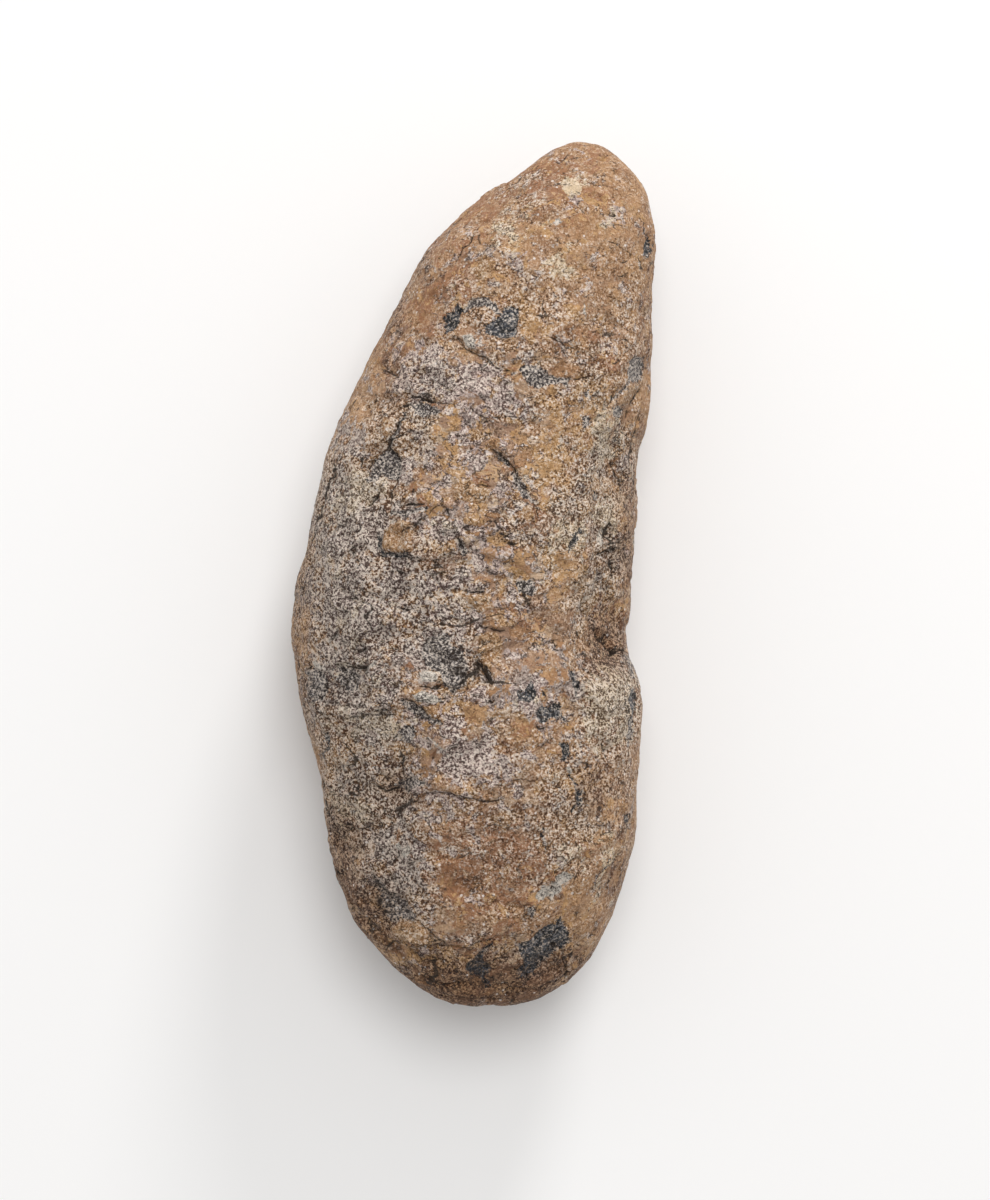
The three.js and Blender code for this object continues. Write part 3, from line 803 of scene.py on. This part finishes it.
def add(tree, kind, inputs=None, **settings):
    """Adds a node with its settings. Its inputs take values, sockets, or nodes for their first output."""
    made = tree.nodes.new("ShaderNode" + kind)
    for name, value in settings.items():
        setattr(made, name, value)
    for socket, value in (inputs or {}).items():
        if isinstance(value, bpy.types.Node):
            value = next(output for output in value.outputs if output.enabled)
        if isinstance(value, bpy.types.NodeSocket):
            tree.links.new(value, made.inputs[socket])
        else:
            made.inputs[socket].default_value = value
    return made


MIX_A, MIX_B = 6, 7  # the colour inputs of a Mix node

# %% Patterns of the stone
finish = bpy.data.materials.new("silicified dung stone")
finish.use_nodes = True
tree = finish.node_tree
tree.nodes.clear()
place = add(tree, "TexCoord").outputs["Object"]
in_mm = add(tree, "Mapping", {"Vector": place, "Scale": (1 / MM,) * 3})

PATTERNS = {  # name: size of its lumps in mm, detail, roughness, distortion
    "drift": (13.0, 2.0, 0.5, 0.4),  # wide clouds
    "mottle": (3.4, 5.0, 0.62, 0.9),  # stains
    "tint": (2.6, 4.0, 0.62, 0.9),  # stains of another kind
    "fleck": (1.15, 4.0, 0.62, 0.8),  # clots of grains
    "grain": (0.48, 2.0, 0.6, 1.4),  # grains, which curl round each other
    "dust": (0.27, 2.0, 0.6, 0.3),  # the real dust is finer, and would not show
}
off = {}  # each pattern about zero
for number, (name, (size, detail, fineness, distortion)) in enumerate(PATTERNS.items()):
    pattern = add(tree, "TexNoise", {
        "Vector": in_mm, "W": 3.7 * number, "Scale": 1 / size, "Detail": detail,
        "Roughness": fineness, "Distortion": distortion,
    }, noise_dimensions="4D")
    off[name] = add(tree, "Math", {0: pattern, 1: 0.5}, operation="SUBTRACT")
given = {}  # each patch, zone and crack that the survey left on the skin
for name in fields:
    given[name] = add(tree, "Attribute", attribute_name=name).outputs["Fac"]

# %% Coarseness: 0 where the stone is smooth, 1 where grit lies open
coarseness = given["grit"]
for name, gain in (("drift", 1.2), ("mottle", 1.5)):
    coarseness = add(tree, "Math", {0: off[name], 1: gain, 2: coarseness}, operation="MULTIPLY_ADD")
coarseness = add(tree, "MapRange", {"Value": coarseness, "From Max": 0.9})

# %% Ground tone
base = add(tree, "MapRange", {"Value": off["mottle"], "From Min": -0.2, "From Max": 0.2})
paint = add(tree, "Mix", {
    "Factor": base, MIX_A: colour("#9E7452"), MIX_B: colour("#C89D71"),
}, data_type="RGBA")

# %% Flakes: thin layers have broken away in plates, each with a tone and a coarseness of its own
PLATE_MM = (2.7, 1.7, 2.0)  # a plate's size across the loaf, along it and in height
PLATE_SHADES = ("#98704F", "#A88E7F", "#C9A273", "#A18A7D", "#CDBBA4")
RAGGED_MM = 0.9
RAGGED_REACH_MM = 2.4
PLATES_SHOW = 0.5
ragged = add(tree, "TexNoise", {"Vector": in_mm, "Scale": 1 / RAGGED_MM, "Detail": 3.0}).outputs["Color"]
ragged = add(tree, "VectorMath", {0: ragged, 1: (0.5, 0.5, 0.5)}, operation="SUBTRACT")
ragged = add(tree, "VectorMath", {0: ragged, "Scale": RAGGED_REACH_MM}, operation="SCALE")
ragged = add(tree, "VectorMath", {0: ragged, 1: in_mm}, operation="ADD")
ragged = add(tree, "Mapping", {"Vector": ragged, "Scale": [1 / size for size in PLATE_MM]})
plates = add(tree, "TexVoronoi", {"Vector": ragged, "Scale": 1.0})
plate_parts = add(tree, "SeparateColor", {"Color": plates.outputs["Color"]}).outputs
plate_tone = add(tree, "Math", {0: plate_parts["Red"], 1: 0.5}, operation="SUBTRACT")
plate_grit = add(tree, "Math", {0: plate_parts["Green"], 1: 0.5}, operation="SUBTRACT")
flakiness = add(tree, "Math", {0: off["drift"], 1: 1.5, 2: given["flaky"]}, operation="MULTIPLY_ADD")
flakiness = add(tree, "MapRange", {
    "Value": flakiness, "From Min": -0.1, "From Max": 0.9, "To Min": 0.15,
})
ramp = add(tree, "ValToRGB", {"Fac": plate_parts["Blue"]})
ramp.color_ramp.interpolation = "CONSTANT"
while len(ramp.color_ramp.elements) < len(PLATE_SHADES):
    ramp.color_ramp.elements.new(0.5)
for number, (stop, shade) in enumerate(zip(ramp.color_ramp.elements, PLATE_SHADES)):
    stop.position = number / len(PLATE_SHADES)
    stop.color = colour(shade)
share = add(tree, "Math", {0: flakiness, 1: PLATES_SHOW}, operation="MULTIPLY")
paint = add(tree, "Mix", {"Factor": share, MIX_A: paint, MIX_B: ramp}, data_type="RGBA")
off["plate"] = add(tree, "Math", {0: flakiness, 1: plate_grit}, operation="MULTIPLY")

# %% Rims of plates, broken off here and there, with painted shade in the crease along them
RIM_MM = 0.09
RIM_SHARE = RIM_MM / PLATE_MM[2]
shaded_rim = add(tree, "TexVoronoi", {"Vector": ragged, "Scale": 1.0}, feature="DISTANCE_TO_EDGE")
shaded_rim = add(tree, "MapRange", {
    "Value": shaded_rim, "From Min": RIM_SHARE, "From Max": 0.3 * RIM_SHARE,
}, interpolation_type="SMOOTHSTEP")
unbroken = add(tree, "Math", {0: off["fleck"], 1: 1.5, 2: off["tint"]}, operation="MULTIPLY_ADD")
unbroken = add(tree, "MapRange", {"Value": unbroken, "From Min": -0.02, "From Max": 0.08})
for part in (unbroken, flakiness):
    shaded_rim = add(tree, "Math", {0: shaded_rim, 1: part}, operation="MULTIPLY")

# %% Stains
STAINS = {  # zone: colour, gains of mottle, tint and plate, where it starts, most it covers, grit added
    "rust": ("#986A4A", 2.0, -3.4, -0.6, 0.46, 0.85, -0.15),
    "ochre": ("#BE9464", 2.6, -3.2, 0.6, 0.42, 0.9, -0.2),
    "ash": ("#B4A39A", -1.8, 3.2, -0.6, 0.46, 0.85, 0.3),
    "lilac": ("#C9B3AB", 2.0, 3.4, 0.6, 0.40, 0.9, 0.1),
    "cream": ("#E0C9A8", 3.0, 1.2, 0.4, 0.50, 0.85, 0.0),
    # umber: brown stain that also stands for painted shade on the rims, the foot and in hollows
    "umber_and_shade": ("#704C34", -3.0, -0.8, -0.4, 0.46, 0.8, 0.15),
}
STAIN_EDGE = 0.16
for zone, (shade, mottle, tint, plate, start, most, more_grit) in STAINS.items():
    torn = given[zone]
    gains = {"mottle": mottle, "tint": tint, "plate": plate, "fleck": 1.4, "grain": 0.5}
    for name, gain in gains.items():
        torn = add(tree, "Math", {0: off[name], 1: gain, 2: torn}, operation="MULTIPLY_ADD")
    share = add(tree, "MapRange", {
        "Value": torn, "From Min": start, "From Max": start + STAIN_EDGE, "To Max": most,
    }, interpolation_type="SMOOTHSTEP")
    paint = add(tree, "Mix", {"Factor": share, MIX_A: paint, MIX_B: colour(shade)}, data_type="RGBA")
    coarseness = add(tree, "Math", {0: share, 1: more_grit, 2: coarseness}, operation="MULTIPLY_ADD")
coarseness = add(tree, "Math", {0: off["plate"], 1: 0.8, 2: coarseness}, operation="MULTIPLY_ADD")

# %% Patches
SORTS = {  # sort: its two tones, coarseness, roughness; the flint's lighter tone is painted highlight on its facets
    "tan": ("#A57C54", "#B8936A", 0.1, 0.8),
    "pale": ("#B7AEA2", "#DBD4C9", 0.2, 0.8),
    "grey": ("#5A5351", "#9A928E", 0.5, 0.6),
    "flint": ("#0D0D0F", "#5D6067", 0.12, 0.4),
}
PATCH_BLUR_MM = 0.08
facet_tone_and_glint = add(tree, "Math", {0: off["grain"], 1: 0.8, 2: off["fleck"]}, operation="MULTIPLY_ADD")
facet_tone_and_glint = add(tree, "MapRange", {"Value": facet_tone_and_glint, "From Min": -0.1, "From Max": 0.12})
roughness = 0.8
for sort, (one_tone, other_tone, grittiness, gloss) in SORTS.items():
    torn = given[sort]
    for name, gain in (("grain", 1.2), ("fleck", 1.0)):
        torn = add(tree, "Math", {0: off[name], 1: gain, 2: torn}, operation="MULTIPLY_ADD")
    share = add(tree, "MapRange", {
        "Value": torn, "From Min": PATCH_BLUR_MM, "From Max": -PATCH_BLUR_MM,
    }, interpolation_type="SMOOTHSTEP")
    tone = add(tree, "Mix", {
        "Factor": facet_tone_and_glint, MIX_A: colour(one_tone), MIX_B: colour(other_tone),
    }, data_type="RGBA")
    paint = add(tree, "Mix", {"Factor": share, MIX_A: paint, MIX_B: tone}, data_type="RGBA")
    roughness = add(tree, "Mix", {"Factor": share, 2: roughness, 3: gloss})
    coarseness = add(tree, "Mix", {"Factor": share, 2: coarseness, 3: grittiness})

# %% Grains: each pattern lightens some of them and darkens others, so the high grains get painted light and the low ones painted shade
PEBBLE_MM = 0.55
pebbles = add(tree, "TexVoronoi", {"Vector": in_mm, "Scale": 1 / PEBBLE_MM})
pebbles = add(tree, "SeparateColor", {"Color": pebbles.outputs["Color"]})
off["pebble"] = add(tree, "Math", {0: pebbles, 1: 0.5}, operation="SUBTRACT")
GAINS = {  # pattern: how much it lightens and darkens where the stone is smooth, and what grit adds
    "grain": (1.5, 3.8), "dust": (3.1, 20.0), "fleck": (0.5, 1.0), "pebble": (0.2, 0.7),
}
grain_light_and_shade = add(tree, "Math", {0: coarseness, 1: 0.1}, operation="MULTIPLY")
for name, (smooth_gain, grit_gain) in GAINS.items():
    gain = add(tree, "Math", {0: coarseness, 1: grit_gain, 2: smooth_gain}, operation="MULTIPLY_ADD")
    grain_light_and_shade = add(tree, "Math", {0: off[name], 1: gain, 2: grain_light_and_shade}, operation="MULTIPLY_ADD")
# higher plates get painted light and lower ones painted shade, as the relief below gets the same share
plate_light = add(tree, "Math", {0: plate_tone, 1: flakiness}, operation="MULTIPLY")
grain_light_and_shade = add(tree, "Math", {0: plate_light, 1: 0.4, 2: grain_light_and_shade}, operation="MULTIPLY_ADD")

# %% The lightest grains are chalk with painted highlight on them, and the darkest get painted shade
LIGHTNESS_END = 1.1
chalk_and_highlight = add(tree, "Mix", {
    "Factor": given["umber_and_shade"], MIX_A: colour("#F1E2D3"), MIX_B: colour("#C59D78"),
}, data_type="RGBA")
# high grains turn to chalk with painted highlight, and low ones are multiplied by a dark painted shade
for end, most, tone, blend in (
    (LIGHTNESS_END, 0.8, chalk_and_highlight, "MIX"), (-LIGHTNESS_END, 0.9, colour("#5F4A42"), "MULTIPLY"),
):
    share = add(tree, "MapRange", {"Value": grain_light_and_shade, "From Max": end, "To Max": most})
    paint = add(tree, "Mix", {"Factor": share, MIX_A: paint, MIX_B: tone},
                data_type="RGBA", blend_type=blend)

# %% Specks: chalky grains that stand clear of the rest, with a painted glint
SPECK_MM = 0.95
SPECK_RADIUS = 0.17  # as a share of SPECK_MM
CHALKY_OVER = 0.82  # only the cells whose own number is over this have a speck
specks = add(tree, "TexVoronoi", {"Vector": in_mm, "Scale": 1 / SPECK_MM})
speck_parts = add(tree, "SeparateColor", {"Color": specks.outputs["Color"]}).outputs
chalky = add(tree, "Math", {0: coarseness, 1: 0.45, 2: speck_parts["Green"]}, operation="MULTIPLY_ADD")
chalky = add(tree, "Math", {0: chalky, 1: CHALKY_OVER}, operation="GREATER_THAN")
speck_and_glint = add(tree, "MapRange", {
    "Value": specks, "From Min": 1.35 * SPECK_RADIUS, "From Max": 0.75 * SPECK_RADIUS, "To Max": 0.85,
}, interpolation_type="SMOOTHSTEP")
speck_and_glint = add(tree, "Math", {0: speck_and_glint, 1: chalky}, operation="MULTIPLY")
paint = add(tree, "Mix", {"Factor": speck_and_glint, MIX_A: paint, MIX_B: colour("#EDE2DA")}, data_type="RGBA")

# %% Pits between the grains, filled with painted shade
pit_shade = add(tree, "Math", {0: coarseness, 1: -0.06, 2: off["grain"]}, operation="MULTIPLY_ADD")
pit_shade = add(tree, "MapRange", {
    "Value": pit_shade, "From Min": -0.16, "From Max": -0.22, "To Max": 0.75,
}, interpolation_type="SMOOTHSTEP")
paint = add(tree, "Mix", {"Factor": pit_shade, MIX_A: paint, MIX_B: colour("#3A2C22")}, data_type="RGBA")

# %% Hairlines: the edges of thin layers, short curved strokes that lie across the loaf, with painted shade in them
HAIRLINE_MM = (2.4, 1.3, 1.8)
HAIRLINE_HALF = 0.02
shaded_hairline = add(tree, "Mapping", {"Vector": in_mm, "Scale": [1 / size for size in HAIRLINE_MM]})
shaded_hairline = add(tree, "TexNoise", {
    "Vector": shaded_hairline, "Scale": 1.0, "Detail": 3.0, "Roughness": 0.55, "Distortion": 0.6,
})
shaded_hairline = add(tree, "Math", {0: shaded_hairline, 1: 0.5}, operation="SUBTRACT")
shaded_hairline = add(tree, "Math", {0: shaded_hairline}, operation="ABSOLUTE")
shaded_hairline = add(tree, "MapRange", {
    "Value": shaded_hairline, "From Min": HAIRLINE_HALF, "From Max": 0.3 * HAIRLINE_HALF, "To Max": 0.85,
}, interpolation_type="SMOOTHSTEP")
open_here = off["fleck"]
for part, gain in ((off["tint"], 0.7), (flakiness, 0.08), (given["umber_and_shade"], 0.12)):
    open_here = add(tree, "Math", {0: part, 1: gain, 2: open_here}, operation="MULTIPLY_ADD")
open_here = add(tree, "MapRange", {"Value": open_here, "From Min": 0.05, "From Max": 0.11})
shaded_hairline = add(tree, "Math", {0: shaded_hairline, 1: open_here}, operation="MULTIPLY")
# painted shade in the creases of the hairlines and the plates' rims
for line, most in ((shaded_hairline, 1.0), (shaded_rim, 0.8)):
    share = add(tree, "Math", {0: line, 1: most}, operation="MULTIPLY")
    paint = add(tree, "Mix", {"Factor": share, MIX_A: paint, MIX_B: colour("#3F2E22")}, data_type="RGBA")

# %% Cracks: painted shade along the cracks and the feet of ledges
CRACK_BLUR_MM = 0.05
crack = add(tree, "Math", {0: given["crack_side"]}, operation="ABSOLUTE")
uneven = 1.0
for name, gain in (("grain", -2.0), ("fleck", 2.0)):
    uneven = add(tree, "Math", {0: off[name], 1: gain, 2: uneven}, operation="MULTIPLY_ADD")
shade_gape = add(tree, "Math", {0: given["crack_shade_open"], 1: uneven}, operation="MULTIPLY")
crack = add(tree, "Math", {0: shade_gape, 1: crack}, operation="SUBTRACT")
crack = add(tree, "MapRange", {
    "Value": crack, "From Min": 0.2 * CRACK_BLUR_MM, "From Max": 2.4 * CRACK_BLUR_MM, "To Max": 0.88,
}, interpolation_type="SMOOTHSTEP")
paint = add(tree, "Mix", {"Factor": crack, MIX_A: paint, MIX_B: colour("#2E231A")}, data_type="RGBA")

# %% Relief too fine for the mesh, in mm
RELIEF = {"grain": (0.22, 0.30), "dust": (0.08, 0.10), "fleck": (0.8, 0.4)}  # as in GAINS
height = add(tree, "Math", {0: plate_light, 1: 0.4}, operation="MULTIPLY")
for name, (smooth_gain, grit_gain) in RELIEF.items():
    gain = add(tree, "Math", {0: coarseness, 1: grit_gain, 2: smooth_gain}, operation="MULTIPLY_ADD")
    height = add(tree, "Math", {0: off[name], 1: gain, 2: height}, operation="MULTIPLY_ADD")
for part, gain in ((off["pebble"], 0.05), (shaded_hairline, -0.10), (shaded_rim, -0.12)):
    height = add(tree, "Math", {0: part, 1: gain, 2: height}, operation="MULTIPLY_ADD")
bump = add(tree, "Bump", {"Height": height, "Strength": 1.0, "Distance": MM})
surface = add(tree, "BsdfPrincipled", {
    "Base Color": paint, "Roughness": roughness, "Normal": bump, "IOR": 1.54, "Specular IOR Level": 0.35,
})
add(tree, "OutputMaterial", {"Surface": surface})
stone.data.materials.clear()
stone.data.materials.append(finish)
print("finish:", len(tree.nodes), "nodes")

# %% Hand the piece to the frame
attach(stone, "root")
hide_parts("coprolite")

# %% [markdown]
# ## Floor and light
#
# The stone lies on plain white paper. The light is a studio's: one large soft window beyond the tip,
# low enough to rake over the cracks, a second soft light high over it, and a pale room that is a little
# brighter beyond the tip than on the near side.

# %% Floor
FLOOR_M = 3.0
floor_mesh = bpy.data.meshes.new("floor")
ground = bmesh.new()
bmesh.ops.create_grid(ground, x_segments=1, y_segments=1, size=FLOOR_M / 2)
ground.to_mesh(floor_mesh)
ground.free()
floor = bpy.data.objects.new("floor", floor_mesh)
bpy.context.scene.collection.objects.link(floor)
paper = bpy.data.materials.new("matt white paper")
paper.use_nodes = True
paper_shader = paper.node_tree.nodes["Principled BSDF"]
paper_shader.inputs["Base Color"].default_value = colour("#FAF9F8")
paper_shader.inputs["Roughness"].default_value = 0.95
floor_mesh.materials.append(paper)

# %% Lights
LIGHTS = {  # name: bearing from +Y to +X and height over the floor in degrees, far off, size, watts
    "window": (17.0, 25.0, 1.0, 0.25, 3.7),
    "overhead": (17.0, 75.0, 1.0, 0.45, 3.6),
}
for name, (bearing, up, far, size, watts) in LIGHTS.items():
    turn, lift = math.radians(bearing), math.radians(up)
    where = far * Vector((math.sin(turn) * math.cos(lift), math.cos(turn) * math.cos(lift), math.sin(lift)))
    lamp = bpy.data.lights.new(name, "AREA")
    lamp.shape = "DISK"
    lamp.size = size
    lamp.energy = watts
    holder = bpy.data.objects.new(name, lamp)
    holder.location = where
    holder.rotation_mode = "QUATERNION"
    holder.rotation_quaternion = (-where).to_track_quat("-Z", "Y")
    bpy.context.scene.collection.objects.link(holder)
print("lights:", ", ".join(LIGHTS))

# %% Room
ROOM_LIGHT = (0.30, 0.80)  # on the near side, and beyond the tip
world = bpy.data.worlds.new("studio")
world.use_nodes = True
sky = world.node_tree
way = add(sky, "SeparateXYZ", {0: add(sky, "TexCoord").outputs["Generated"]})
room = add(sky, "MapRange", {
    "Value": way.outputs["Y"], "From Min": -1.0, "From Max": 1.0,
    "To Min": ROOM_LIGHT[0], "To Max": ROOM_LIGHT[1],
})
background = sky.nodes["Background"]
background.inputs["Color"].default_value = colour("#FFFFFF")
sky.links.new(room.outputs["Result"], background.inputs["Strength"])
bpy.context.scene.world = world
bpy.context.scene.view_settings.view_transform = "Standard"
